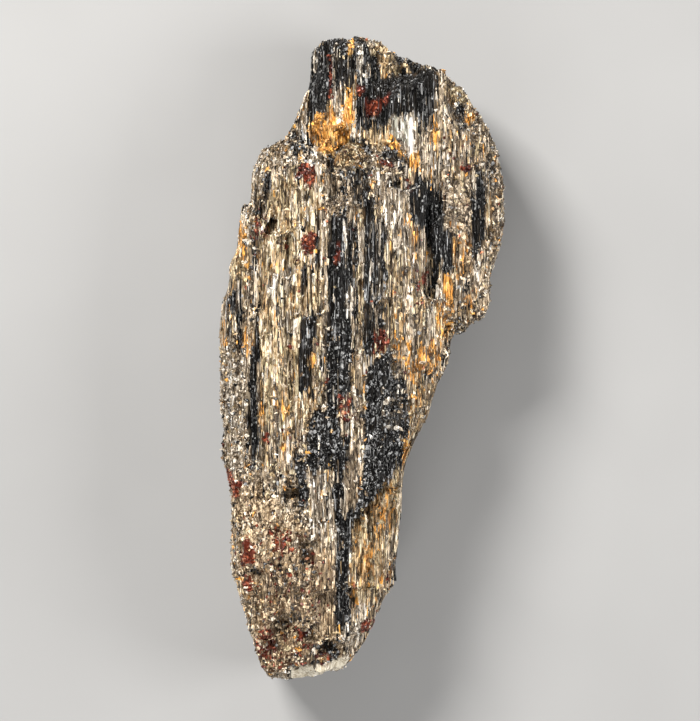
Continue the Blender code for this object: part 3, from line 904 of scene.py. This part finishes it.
def local_shade(points, chance, spread):
    """A light or dark shade for each crystal, from blotches, columns, chance and patches, some of
    them painted shade and painted highlights.
    """
    columns = noise_at(points, (0.75, 18.0, 0.75), 47.0)
    shade = 0.5 + BLOTCH_SHADE * noise_at(points, (1.6, 5.0, 1.6), 41.0)
    shade += COLUMN_SHADE * columns * (1.0 - granular_share(points))
    for area in DARKER_AND_PAINTED_LIGHT:
        shade -= area.purity * patch_share(points, area)
    return np.clip(shade + chance.normal(0.0, spread, len(points)), 0.0, 1.0)


class Crystals:
    """Places small crystals on the columns and makes their pieces."""

    def __init__(self, columns, box, front):
        self.chance = np.random.default_rng(SEED)
        self.box = box
        mesh = columns.data
        self.tree = mesh_tree(mesh)
        points, normals = surface_samples(mesh, SAMPLES, self.chance)
        kept = points[:, 2] > LOWEST_CRYSTAL
        kept &= (points[:, 2] > BACK_LEVEL) | (self.chance.random(SAMPLES) < BACK_SHARE)
        self.points = points[kept]
        self.normals = normals[kept]
        shares = mineral_shares(self.points, front)
        pick = self.chance.random(len(self.points))
        self.mineral = (np.cumsum(shares, axis=1) < pick[:, None]).sum(1).clip(0, RED)
        on_ends = np.abs(self.normals[:, 1]) > END_NORMAL
        grainy = granular_share(self.points) + END_GRAINS * on_ends
        self.grainy = self.chance.random(len(self.points)) < grainy
        shown = front.share(self.points)
        bare = highest_share(self.points, BARE, LEAST_BARE) * shown
        bare *= np.where(self.mineral == BLACK, 1.0, BARE_OF_MICA * shares[:, BLACK])
        smooth = highest_share(self.points, SILVER_FACES + PAINTED_HIGHLIGHT_EDGES + GAPS)
        bare = np.maximum(bare, SMOOTH_BARE * smooth * shown)
        bare = np.maximum(bare, FRACTURE_BARE * fracture_share(self.points))
        self.free = self.chance.random(len(self.points)) > bare
        self.bulk = np.where(self.points[:, 2] > BACK_LEVEL, 1.0, BACK_BULK)

    def take(self, minerals, grainy, most):
        """Takes up to this many free places of these minerals, grainy ones or not."""
        wanted = np.isin(self.mineral, minerals) & self.free & (self.grainy == grainy)
        places = np.flatnonzero(wanted)[:most]
        self.free[places] = False
        return places

    def widths(self, places, width):
        """A width in mm for each crystal, about this one and larger on the back."""
        return width * self.bulk[places] * self.chance.lognormal(0.0, WIDTH_SPREAD, len(places))

    def slivers(self, name, minerals, most, length, spread, width, sink):
        """Slivers along the specimen, of about this length and width in mm.

        The spread is that of the logarithm of their lengths. Each is sunk by a share
        of its height.
        """
        places = self.take(minerals, False, most)
        count = len(places)
        wanted = self.chance.lognormal(math.log(length), spread, count)
        wanted *= np.where(self.mineral[places] == ORANGE, SHORT_STAINED, 1.0)
        centres, alongs, fitted = fitted_slivers(
            self.tree, self.points[places], self.normals[places], wanted, self.chance
        )
        widths = self.widths(places, width)
        heights = widths * self.chance.uniform(0.55, 1.0, count)
        centres = centres - self.normals[places] * (heights * sink)[:, None]
        frames = frames_for(alongs, self.normals[places])
        frames = rolled(frames, self.chance.uniform(-SLIVER_ROLL, SLIVER_ROLL, count))
        sizes = np.stack((widths, fitted, heights), axis=1)
        form = sliver_form()
        piece = many_of(
            name, form, centres, frames, sizes, SLIVER_JITTER, self.box, self.chance
        )
        return piece, form, places

    def flakes(self, name, minerals, most, width, thickness, tilt, form, longest=1.7):
        """Flakes or grains of about this width in mm, which lean at random.

        The thickness is a share of the width, and the longest of them is this many
        times as long as it is wide.
        """
        places = self.take(minerals, True, most)
        count = len(places)
        up = random_tilts(self.normals[places], tilt, self.chance)
        along = random_tilts(np.zeros((count, 3)), 1.0, self.chance)
        along -= LYING * up * (along * up).sum(1)[:, None]
        frames = frames_for(along, up)
        widths = np.minimum(self.widths(places, width), WIDEST_FLAKE)
        lengths = np.minimum(widths * self.chance.uniform(0.8, longest, count), LONGEST_FLAKE)
        sizes = np.stack((widths, lengths, widths * thickness), axis=1)
        stand = FLAKE_STAND - FLANK_SINK * (1.0 - np.abs(self.normals[places, 2]))
        centres = self.points[places] + self.normals[places] * stand[:, None]
        piece = many_of(
            name, form, centres, frames, sizes, FLAKE_JITTER, self.box, self.chance
        )
        return piece, form, places


# Materials

def new_group(name, inputs, outputs):
    """An empty node group with named number inputs, and outputs of these types."""
    group = bpy.data.node_groups.new(name, "ShaderNodeTree")
    for title, value in inputs.items():
        socket = group.interface.new_socket(title, in_out="INPUT", socket_type="NodeSocketFloat")
        socket.default_value = value
    for title, kind in outputs.items():
        group.interface.new_socket(title, in_out="OUTPUT", socket_type=kind)
    return group, group.nodes.new("NodeGroupInput"), group.nodes.new("NodeGroupOutput")


def math_node(tree, operation, first, second):
    """A Math node whose inputs are sockets or numbers."""
    node = tree.nodes.new("ShaderNodeMath")
    node.operation = operation
    for index, value in enumerate((first, second)):
        if isinstance(value, (int, float)):
            node.inputs[index].default_value = value
        else:
            tree.links.new(value, node.inputs[index])
    return node.outputs[0]


def vector_node(tree, operation, first, second, output="Vector"):
    """A Vector Math node whose second input is a socket or a vector."""
    node = tree.nodes.new("ShaderNodeVectorMath")
    node.operation = operation
    tree.links.new(first, node.inputs[0])
    if isinstance(second, tuple):
        node.inputs[1].default_value = second
    else:
        tree.links.new(second, node.inputs[1])
    return node.outputs[output]


def scaled_place(tree, across, along):
    """The place on the object in mm, divided by a size across and a size along."""
    place = tree.nodes.new("ShaderNodeTexCoord")
    parts = tree.nodes.new("ShaderNodeSeparateXYZ")
    whole = tree.nodes.new("ShaderNodeCombineXYZ")
    tree.links.new(place.outputs["Object"], parts.inputs[0])
    for index, size in enumerate((across, along, across)):
        in_mm = math_node(tree, "MULTIPLY", parts.outputs[index], 1.0 / MM)
        tree.links.new(math_node(tree, "DIVIDE", in_mm, size), whole.inputs[index])
    return whole.outputs[0]


def noise_texture(tree, place, detail, roughness=0.5):
    """Noise at a place that is already scaled."""
    node = tree.nodes.new("ShaderNodeTexNoise")
    node.inputs["Detail"].default_value = detail
    node.inputs["Roughness"].default_value = roughness
    node.inputs["Scale"].default_value = 1.0
    tree.links.new(place, node.inputs["Vector"])
    return node.outputs["Fac"]


def eased(tree, value, start, end):
    """A value from 0 at the start to 1 at the end, and no further."""
    node = tree.nodes.new("ShaderNodeMapRange")
    node.inputs["From Min"].default_value = start
    node.inputs["From Max"].default_value = end
    tree.links.new(value, node.inputs["Value"])
    return node.outputs["Result"]


def striation_group():
    """Fine lines along the columns: a height for bump and a mask of the grooves for painted shade.
    """
    group, given, out = new_group(
        "lengthwise striation", {"Across": 0.25, "Along": 6.0},
        {"Height": "NodeSocketFloat", "Groove Shade": "NodeSocketFloat"},
    )
    place = scaled_place(group, given.outputs["Across"], given.outputs["Along"])
    lines = noise_texture(group, place, 4.0, 0.62)
    group.links.new(lines, out.inputs["Height"])
    group.links.new(eased(group, lines, 0.5, 0.36), out.inputs["Groove Shade"])
    return group


def glitter_group():
    """Tiny flat facets. Each has its own number and its own slope for bump, and rare ones a mask
    for painted glints.
    """
    group, given, out = new_group(
        "mineral glitter", {"Size": 0.4, "Length": 0.8},
        {"Facet": "NodeSocketFloat", "Painted Glint": "NodeSocketFloat", "Slope": "NodeSocketFloat"},
    )
    place = scaled_place(group, given.outputs["Size"], given.outputs["Length"])
    cells = group.nodes.new("ShaderNodeTexVoronoi")
    cells.inputs["Scale"].default_value = 1.0
    group.links.new(place, cells.inputs["Vector"])
    parts = group.nodes.new("ShaderNodeSeparateColor")
    group.links.new(cells.outputs["Color"], parts.inputs[0])
    lean = vector_node(group, "SUBTRACT", cells.outputs["Color"], (0.5, 0.5, 0.5))
    inside = vector_node(group, "SUBTRACT", place, cells.outputs["Position"])
    slope = vector_node(group, "DOT_PRODUCT", lean, inside, "Value")
    group.links.new(parts.outputs[0], out.inputs["Facet"])
    group.links.new(eased(group, parts.outputs[1], 0.86, 0.94), out.inputs["Painted Glint"])
    group.links.new(slope, out.inputs["Slope"])
    return group


def cloud_group():
    """Soft blotches, for stains and dust."""
    group, given, out = new_group(
        "mineral blotches", {"Size": 3.0, "Length": 8.0}, {"Mask": "NodeSocketFloat"},
    )
    place = scaled_place(group, given.outputs["Size"], given.outputs["Length"])
    clouds = noise_texture(group, place, 3.0)
    group.links.new(eased(group, clouds, 0.4, 0.62), out.inputs["Mask"])
    return group


class Finish:
    """A material on one Principled shader, with the groups that the finishes share."""

    groups = {}

    def __init__(self, name, roughness=0.3, metallic=0.0, specular=0.5):
        self.material = bpy.data.materials.new(name)
        self.material.use_nodes = True
        self.tree = self.material.node_tree
        self.shader = self.tree.nodes["Principled BSDF"]
        self.shader.inputs["Roughness"].default_value = roughness
        self.shader.inputs["Metallic"].default_value = metallic
        self.shader.inputs["Specular IOR Level"].default_value = specular

    def group(self, kind, **values):
        """A shared node group with this material's own values."""
        node = self.tree.nodes.new("ShaderNodeGroup")
        node.node_tree = Finish.groups[kind]
        for title, value in values.items():
            node.inputs[title].default_value = value
        return node

    def value(self, name):
        """A number that the mesh keeps at its points or faces."""
        node = self.tree.nodes.new("ShaderNodeAttribute")
        node.attribute_name = name
        return node.outputs["Fac"]

    def ramp(self, factor, *stops):
        """Colours along a factor, from stops of place and colour."""
        node = self.tree.nodes.new("ShaderNodeValToRGB")
        ramp = node.color_ramp
        while len(ramp.elements) < len(stops):
            ramp.elements.new(0.5)
        for element, (place, colour) in zip(ramp.elements, stops):
            element.position = place
            element.color = (*colour, 1.0)
        self.tree.links.new(factor, node.inputs[0])
        return node.outputs["Color"]

    def mix(self, factor, first, second, blend="MIX"):
        """Mixes two colours, each a socket or a colour."""
        node = self.tree.nodes.new("ShaderNodeMix")
        node.data_type = "RGBA"
        node.blend_type = blend
        colours = [socket for socket in node.inputs if socket.type == "RGBA"]
        for socket, colour in zip(colours, (first, second)):
            if isinstance(colour, tuple):
                socket.default_value = (*colour, 1.0)
            else:
                self.tree.links.new(colour, socket)
        if isinstance(factor, float):
            node.inputs[0].default_value = factor
        else:
            self.tree.links.new(factor, node.inputs[0])
        return [socket for socket in node.outputs if socket.type == "RGBA"][0]

    def between(self, factor, low, high):
        """A factor of 0 to 1, moved to these two values, also past its ends."""
        node = self.tree.nodes.new("ShaderNodeMapRange")
        node.clamp = False
        node.inputs["To Min"].default_value = low
        node.inputs["To Max"].default_value = high
        self.tree.links.new(factor, node.inputs["Value"])
        return node.outputs["Result"]

    def added(self, first, second, weight):
        """Adds a share of the second value to the first."""
        scaled = math_node(self.tree, "MULTIPLY", second, weight)
        return math_node(self.tree, "ADD", first, scaled)

    def bump(self, height, distance):
        """Gives the shader a bump, where a height of one is this far in mm."""
        node = self.tree.nodes.new("ShaderNodeBump")
        node.inputs["Strength"].default_value = 1.0
        node.inputs["Distance"].default_value = distance * MM
        self.tree.links.new(height, node.inputs["Height"])
        self.link(node.outputs["Normal"], "Normal")

    def link(self, output, socket):
        """Feeds one of the shader's sockets."""
        self.tree.links.new(output, self.shader.inputs[socket])


def column_finish():
    """Black striated tourmaline with painted highlights, a dark mica ground that is partly painted
    shade, and stains.
    """
    finish = Finish("striated tourmaline and mica ground", specular=0.12)
    lines = finish.group("striation", Across=0.2, Along=6.0)
    specks = finish.group("glitter", Size=0.3, Length=1.2)
    clouds = finish.group("blotches", Size=2.5, Length=9.0)
    # The top of this ramp paints grey highlights along the black columns' lines.
    black = finish.ramp(
        lines.outputs["Height"],
        (0.42, (0.0005, 0.0005, 0.0005)), (0.55, (0.004, 0.0037, 0.0035)),
        (0.6, (0.03, 0.03, 0.031)), (0.68, (0.36, 0.36, 0.37)),
    )
    # The dark ground between the crystals is partly painted shade of the gaps between them.
    ground = finish.ramp(
        specks.outputs["Facet"],
        (0.0, (0.015, 0.01, 0.007)), (0.6, (0.09, 0.068, 0.045)), (1.0, (0.4, 0.33, 0.24)),
    )
    ground = finish.mix(finish.value("brown"), ground, finish.ramp(
        specks.outputs["Facet"],
        (0.0, (0.03, 0.015, 0.008)), (0.6, (0.15, 0.09, 0.05)), (1.0, (0.5, 0.35, 0.22)),
    ))
    # Painted shade: the ground is darker still in the grooves.
    ground = finish.mix(lines.outputs["Groove Shade"], ground, (0.012, 0.008, 0.005))
    colour = finish.mix(finish.value("crust"), black, ground)
    stain = finish.ramp(
        specks.outputs["Facet"],
        (0.0, (0.13, 0.05, 0.01)), (0.5, (0.52, 0.25, 0.05)), (1.0, (0.85, 0.55, 0.18)),
    )
    amount = finish.between(clouds.outputs["Mask"], 0.5, 1.0)
    amount = math_node(finish.tree, "MULTIPLY", finish.value("stain"), amount)
    colour = finish.mix(amount, colour, stain)
    colour = finish.mix(finish.value("red"), colour, (0.09, 0.016, 0.008))
    cream = finish.ramp(
        specks.outputs["Facet"], (0.0, (0.36, 0.3, 0.21)), (1.0, (0.82, 0.75, 0.61)),
    )
    colour = finish.mix(finish.value("fracture"), colour, cream)
    silver = finish.ramp(
        specks.outputs["Facet"],
        (0.0, (0.15, 0.145, 0.11)), (0.7, (0.34, 0.33, 0.27)), (1.0, (0.75, 0.74, 0.67)),
    )
    colour = finish.mix(finish.value("silver"), colour, silver)
    # Painted highlight: the bright edges turn near white along the lines.
    bright = finish.ramp(
        lines.outputs["Height"], (0.3, (0.4, 0.38, 0.36)), (0.5, (0.84, 0.83, 0.81)),
    )
    colour = finish.mix(finish.value("bright"), colour, bright)
    finish.link(colour, "Base Color")
    finish.link(finish.between(specks.outputs["Facet"], 0.1, 0.3), "Roughness")
    height = finish.added(lines.outputs["Height"], specks.outputs["Slope"], 0.7)
    finish.bump(height, 0.22)
    return finish.material


def mica_finish(name, dark, middle, light, bright, warm, specular):
    """Glittering mica: each sliver has its own shade, and lines along it with painted shade in
    their grooves.
    """
    finish = Finish(name, metallic=0.45, specular=specular)
    lines = finish.group("striation", Across=0.14, Along=2.5)
    specks = finish.group("glitter", Size=0.4, Length=1.1)
    streaked = finish.added(finish.value("shade"), lines.outputs["Height"], 1.3)
    streaked = finish.added(streaked, specks.outputs["Facet"], 0.35)
    shade = finish.ramp(
        finish.between(streaked, -0.85, 0.15),
        (0.08, dark), (0.4, middle), (0.66, light), (0.95, bright),
    )
    shade = finish.mix(finish.value("warmth"), shade, warm, "MULTIPLY")
    # Painted shade: each sliver is darker in the grooves between its lines.
    groove_shade = finish.mix(lines.outputs["Groove Shade"], (1.0, 1.0, 1.0), (0.25, 0.2, 0.16))
    colour = finish.mix(0.8, shade, groove_shade, "MULTIPLY")
    facets = finish.ramp(
        specks.outputs["Facet"], (0.0, (0.5, 0.47, 0.43)), (1.0, (1.2, 1.18, 1.14)),
    )
    finish.link(finish.mix(0.85, colour, facets, "MULTIPLY"), "Base Color")
    finish.link(finish.between(specks.outputs["Facet"], 0.16, 0.34), "Roughness")
    height = finish.added(lines.outputs["Height"], specks.outputs["Slope"], 1.0)
    finish.bump(height, 0.2)
    return finish.material


def black_finish(name, size, glint, least_painted_glint):
    """Glossy black tourmaline with fine lines, and painted highlights: bright specks and grey
    glints.
    """
    finish = Finish(name, specular=0.12)
    lines = finish.group("striation", Across=0.14, Along=3.5)
    specks = finish.group("glitter", Size=size, Length=size * 2)
    # The top of this ramp paints grey glints on the lighter facets.
    colour = finish.ramp(
        finish.added(finish.value("shade"), specks.outputs["Facet"], glint),
        (0.0, (0.0005, 0.0005, 0.0005)), (0.66, (0.004, 0.0037, 0.0035)),
        (0.84, (0.035, 0.034, 0.034)), (1.0, (0.3, 0.3, 0.3)),
    )
    # Painted glints: a few facets turn pale grey, more of them where the shade is high.
    painted_glints = finish.between(finish.value("shade"), least_painted_glint, 1.0)
    painted_glints = math_node(finish.tree, "MULTIPLY", specks.outputs["Painted Glint"], painted_glints)
    colour = finish.mix(painted_glints, colour, (0.58, 0.57, 0.55))
    finish.link(colour, "Base Color")
    finish.link(finish.between(specks.outputs["Facet"], 0.07, 0.24), "Roughness")
    height = finish.added(lines.outputs["Height"], specks.outputs["Slope"], 1.0)
    finish.bump(height, 0.22)
    return finish.material


def red_finish():
    """Dull red garnet and rust, from salmon to dark red."""
    finish = Finish("red garnet", metallic=0.3, specular=0.5)
    specks = finish.group("glitter", Size=0.32, Length=0.4)
    clouds = finish.group("blotches", Size=0.8, Length=1.2)
    colour = finish.ramp(
        finish.value("shade"),
        (0.0, (0.03, 0.005, 0.003)), (0.45, (0.16, 0.028, 0.012)), (0.8, (0.34, 0.09, 0.04)),
        (1.0, (0.6, 0.33, 0.2)),
    )
    facets = finish.ramp(
        specks.outputs["Facet"],
        (0.0, (0.18, 0.14, 0.12)), (0.6, (0.8, 0.72, 0.68)), (1.0, (1.7, 1.7, 1.6)),
    )
    colour = finish.mix(1.0, colour, facets, "MULTIPLY")
    colour = finish.mix(clouds.outputs["Mask"], colour, (0.55, 0.45, 0.4), "MULTIPLY")
    finish.link(colour, "Base Color")
    finish.link(finish.between(specks.outputs["Facet"], 0.18, 0.45), "Roughness")
    finish.bump(specks.outputs["Slope"], 0.35)
    return finish.material


def floor_finish():
    """A plain pale tabletop."""
    finish = Finish("pale tabletop", roughness=0.6)
    clouds = finish.group("blotches", Size=60.0, Length=60.0)
    colour = finish.mix(clouds.outputs["Mask"], (0.255, 0.252, 0.248), (0.27, 0.267, 0.263))
    finish.link(colour, "Base Color")
    return finish.material


# The setting

def add_floor():
    """The pale surface that the specimen lies on."""
    bm = bmesh.new()
    bmesh.ops.create_grid(bm, x_segments=1, y_segments=1, size=TABLE_REACH)
    mesh = bpy.data.meshes.new("tabletop")
    bm.to_mesh(mesh)
    bm.free()
    mesh.materials.append(floor_finish())
    floor = add_object("tabletop", mesh)


def add_camera():
    """A long lens that looks straight down."""
    camera = bpy.data.cameras.new("camera")
    camera.sensor_fit = "VERTICAL"
    camera.sensor_height = SENSOR_HEIGHT
    camera.lens = SENSOR_HEIGHT * CAMERA_DISTANCE / FRAME_HEIGHT
    camera.clip_start = 0.01
    camera.clip_end = 10.0
    thing = add_object("camera", camera)
    height = CAMERA_LEVEL + CAMERA_DISTANCE
    thing.location = (CAMERA_AIM[0] * MM, CAMERA_AIM[1] * MM, height * MM)
    bpy.context.scene.camera = thing


def add_light(name, place, size, power, colour):
    """A square soft light aimed at the specimen: place and size in m, power in W."""
    light = bpy.data.lights.new(name, "AREA")
    light.size = size
    light.energy = power
    light.color = colour
    thing = add_object(name, light)
    thing.location = place
    aim = (Vector(LIGHT_AIM) - Vector(place)).to_track_quat("-Z", "Y")
    thing.rotation_euler = aim.to_euler()


def add_lights():
    """A key from the upper left, a fill from the right and a rim from below."""
    add_light("key", (-0.3, 0.4, 0.5), 0.24, 10.5, (1.0, 0.985, 0.96))
    add_light("fill", (0.5, -0.05, 0.4), 0.3, 3.5, (1.0, 0.995, 0.985))
    add_light("low rim", (-0.15, -0.55, 0.35), 0.3, 2.4, (1.0, 1.0, 1.0))


def add_sky():
    """An even white sky, and a view that leaves the blacks and bright flakes strong."""
    world = bpy.data.worlds.new("soft sky")
    world.use_nodes = True
    sky = world.node_tree.nodes["Background"]
    sky.inputs["Color"].default_value = (1.0, 1.0, 1.0, 1.0)
    sky.inputs["Strength"].default_value = SKY_STRENGTH
    bpy.context.scene.world = world
    bpy.context.scene.view_settings.view_transform = "Standard"


# The pieces

def finish_piece(piece, material):
    """Gives a piece its material, slot and body."""
    piece.data.materials.clear()
    piece.data.materials.append(material)
    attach(piece, "root")


def warmth_of(crystals, places, warm_mineral, low, high):
    """How warm each crystal's colour is: high for this mineral and low for the rest."""
    base = np.where(crystals.mineral[places] == warm_mineral, high, low)
    return np.clip(base + crystals.chance.normal(0.0, 0.18, len(places)), 0.0, 1.0)


def add_pale_mica(crystals):
    """Slivers and flakes of beige and silver mica."""
    finish = mica_finish(
        "beige and silver mica", dark=(0.06, 0.047, 0.035), middle=(0.27, 0.222, 0.165),
        light=(0.56, 0.5, 0.42), bright=(0.96, 0.93, 0.88), warm=(1.0, 0.84, 0.63),
        specular=0.8,
    )
    slivers = crystals.slivers(
        "pale_mica_slivers", (PALE, SILVER), most=16500,
        length=2.3, spread=0.55, width=0.3, sink=0.1,
    )
    flakes = crystals.flakes(
        "pale_mica_flakes", (PALE, SILVER), most=16500,
        width=0.43, thickness=0.3, tilt=0.45, form=flake_form(), longest=2.7,
    )
    for piece, form, places in (slivers, flakes):
        spots = crystals.points[places]
        shade = local_shade(spots, crystals.chance, 0.29)
        # Silver mica is lighter. Where its patches lie on glints, this is partly a painted
        # highlight.
        shade += 0.15 * (crystals.mineral[places] == SILVER)
        warmth = warmth_of(crystals, places, PALE, low=0.15, high=0.6)
        blotches = 0.65 + 0.9 * noise_at(spots, (1.8, 2.4, 1.8), 59.0)
        warmth += blotches * highest_share(spots, BROWN)
        give_shades(piece, form, shade=np.clip(shade, 0, 1), warmth=warmth)
        finish_piece(piece, finish)


def add_golden_mica(crystals):
    """Golden slivers, and slivers and flakes that iron has stained orange."""
    finish = mica_finish(
        "golden and iron-stained mica", dark=(0.07, 0.052, 0.03), middle=(0.37, 0.29, 0.17),
        light=(0.76, 0.65, 0.43), bright=(0.98, 0.93, 0.78), warm=(1.12, 0.6, 0.17),
        specular=0.4,
    )
    slivers = crystals.slivers(
        "golden_mica_slivers", (GOLD, ORANGE), most=12000,
        length=2.6, spread=0.55, width=0.32, sink=0.1,
    )
    flakes = crystals.flakes(
        "stained_mica_flakes", (GOLD, ORANGE), most=9000,
        width=0.43, thickness=0.32, tilt=0.45, form=flake_form(), longest=2.7,
    )
    for piece, form, places in (slivers, flakes):
        shade = local_shade(crystals.points[places], crystals.chance, 0.24)
        shade += 0.2 * (crystals.mineral[places] == ORANGE)
        warmth = warmth_of(crystals, places, ORANGE, low=0.12, high=0.95)
        give_shades(piece, form, shade=shade, warmth=warmth)
        finish_piece(piece, finish)


def add_black_tourmaline(crystals):
    """Long black needles, and the sharp black grains of the drusy chunk."""
    needles = crystals.slivers(
        "black_needles", (BLACK,), most=9500, length=3.4, spread=0.6, width=0.4, sink=0.3,
    )
    grains = crystals.flakes(
        "black_drusy_grains", (BLACK,), most=9000,
        width=0.46, thickness=0.8, tilt=0.6, form=grain_form(0),
    )
    finishes = (
        black_finish("black tourmaline needles", size=0.2, glint=0.2, least_painted_glint=0.0),
        black_finish("drusy black tourmaline", size=0.15, glint=0.34, least_painted_glint=0.5),
    )
    # The drusy grains are a little lighter, so that more of their facets get painted glints.
    for group, finish, lighter in zip((needles, grains), finishes, (0.0, 0.1)):
        piece, form, places = group
        shade = crystals.chance.beta(1.4, 2.2, len(places)) + lighter
        give_shades(piece, form, shade=shade)
        finish_piece(piece, finish)


def add_red_grains(crystals):
    """Small red grains."""
    crystals.grainy[crystals.mineral == RED] = True
    piece, form, places = crystals.flakes(
        "red_garnet_grains", (RED,), most=3600,
        width=0.5, thickness=0.6, tilt=0.5, form=grain_form(1),
    )
    shade = local_shade(crystals.points[places], crystals.chance, 0.22)
    give_shades(piece, form, shade=shade)
    finish_piece(piece, red_finish())


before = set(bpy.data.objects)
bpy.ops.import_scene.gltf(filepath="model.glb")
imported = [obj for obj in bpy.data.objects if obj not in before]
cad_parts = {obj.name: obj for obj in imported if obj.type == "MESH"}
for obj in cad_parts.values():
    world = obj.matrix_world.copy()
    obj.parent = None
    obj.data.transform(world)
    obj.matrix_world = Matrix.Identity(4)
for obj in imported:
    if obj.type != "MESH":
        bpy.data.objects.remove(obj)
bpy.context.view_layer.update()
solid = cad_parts[NODE]
solid_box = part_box(NODE)

add_camera()
add_lights()
add_sky()
Finish.groups = {
    "striation": striation_group(), "glitter": glitter_group(), "blotches": cloud_group(),
}
add_floor()

front = Front(solid)
columns = make_columns(solid, solid_box, front)
crystals = Crystals(columns, solid_box, front)
add_pale_mica(crystals)
add_golden_mica(crystals)
add_black_tourmaline(crystals)
add_red_grains(crystals)
finish_piece(columns, column_finish())
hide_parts(NODE)
